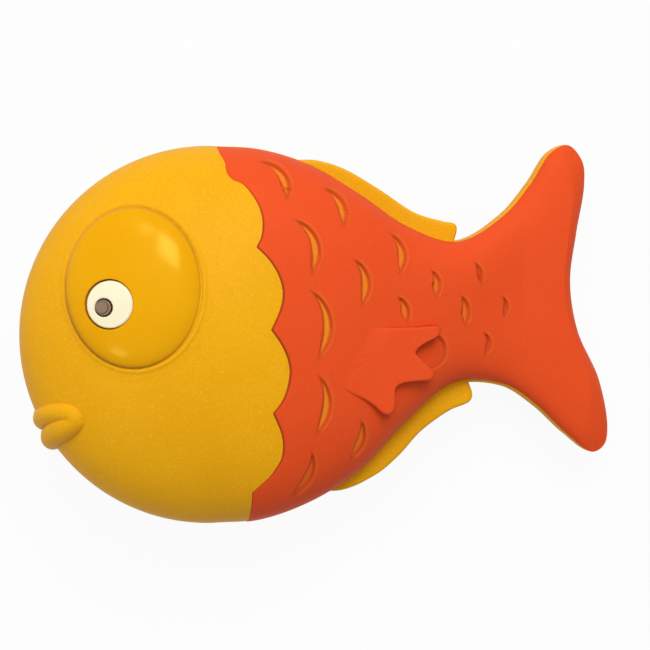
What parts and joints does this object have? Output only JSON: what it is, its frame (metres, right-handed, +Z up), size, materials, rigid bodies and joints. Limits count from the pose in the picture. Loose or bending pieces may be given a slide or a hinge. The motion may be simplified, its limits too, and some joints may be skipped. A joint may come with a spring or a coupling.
{
  "type": "fish rattle",
  "caption": "Hollow moulded fish that rattles when shaken: round head with domed turning eyes, scale skin over the rear half, edge fins and a forked flat tail to hold.",
  "frame": {"origin": "middle of the bounding box on the table the fish lies on", "axes": "+X towards the tail, +Y towards the back fin, +Z up out of the left side; the fish lies tail down at its own resting tilt"},
  "size_m": [0.1391, 0.0896, 0.0487],
  "materials": {
    "yellow_shell": "fine spark-eroded grain",
    "orange_skin": "satin, slightly soft",
    "polished_yellow": "polished",
    "cream_eye": "polished",
    "brown_pupil": "satin",
    "milky_keeper": "as moulded",
    "bead_plastic": "as moulded"
  },
  "bodies": {
    "fish": {"left_shell": "yellow_shell", "right_shell": "yellow_shell", "left_skin": "orange_skin", "right_skin": "orange_skin", "left_eye_dome": "polished_yellow", "right_eye_dome": "polished_yellow", "left_eye_keeper": "milky_keeper", "right_eye_keeper": "milky_keeper"},
    "left_eye": {"left_eyeball": "cream_eye", "left_pupil": "brown_pupil"},
    "right_eye": {"right_eyeball": "cream_eye", "right_pupil": "brown_pupil"},
    "bead_1": {"rattle_bead_1": "bead_plastic"},
    "bead_2": {"rattle_bead_2": "bead_plastic"},
    "bead_3": {"rattle_bead_3": "bead_plastic"},
    "bead_4": {"rattle_bead_4": "bead_plastic"},
    "bead_5": {"rattle_bead_5": "bead_plastic"},
    "bead_6": {"rattle_bead_6": "bead_plastic"},
    "bead_7": {"rattle_bead_7": "bead_plastic"},
    "bead_8": {"rattle_bead_8": "bead_plastic"}
  },
  "joints": [
    {"name": "left_eye_spin", "type": "hinge", "parent": "fish", "child": "left_eye", "pos_m": [-0.04619, 0.00834, 0.04783], "axis": [-0.1524, 0.0864, 0.9845], "continuous": true},
    {"name": "right_eye_spin", "type": "hinge", "parent": "fish", "child": "right_eye", "pos_m": [-0.05277, 0.00695, 0.0063], "axis": [0.4498, -0.0233, 0.8928], "continuous": true},
    {"name": "bead_1_shake", "type": "slide", "parent": "fish", "child": "bead_1", "axis": [0.1563, 0.0332, 0.9871], "range_m": [0, 0.02754]},
    {"name": "bead_2_shake", "type": "slide", "parent": "fish", "child": "bead_2", "axis": [0.1563, 0.0332, 0.9871], "range_m": [0, 0.0247]},
    {"name": "bead_3_shake", "type": "slide", "parent": "fish", "child": "bead_3", "axis": [0.1563, 0.0332, 0.9871], "range_m": [0, 0.02612]},
    {"name": "bead_4_shake", "type": "slide", "parent": "fish", "child": "bead_4", "axis": [0.1563, 0.0332, 0.9871], "range_m": [0, 0.02854]},
    {"name": "bead_5_shake", "type": "slide", "parent": "fish", "child": "bead_5", "axis": [0.1563, 0.0332, 0.9871], "range_m": [0, 0.02954]},
    {"name": "bead_6_shake", "type": "slide", "parent": "fish", "child": "bead_6", "axis": [0.1563, 0.0332, 0.9871], "range_m": [0, 0.02828]},
    {"name": "bead_7_shake", "type": "slide", "parent": "fish", "child": "bead_7", "axis": [0.1563, 0.0332, 0.9871], "range_m": [0, 0.02584]},
    {"name": "bead_8_shake", "type": "slide", "parent": "fish", "child": "bead_8", "axis": [0.1563, 0.0332, 0.9871], "range_m": [0, 0.0229]}
  ]
}
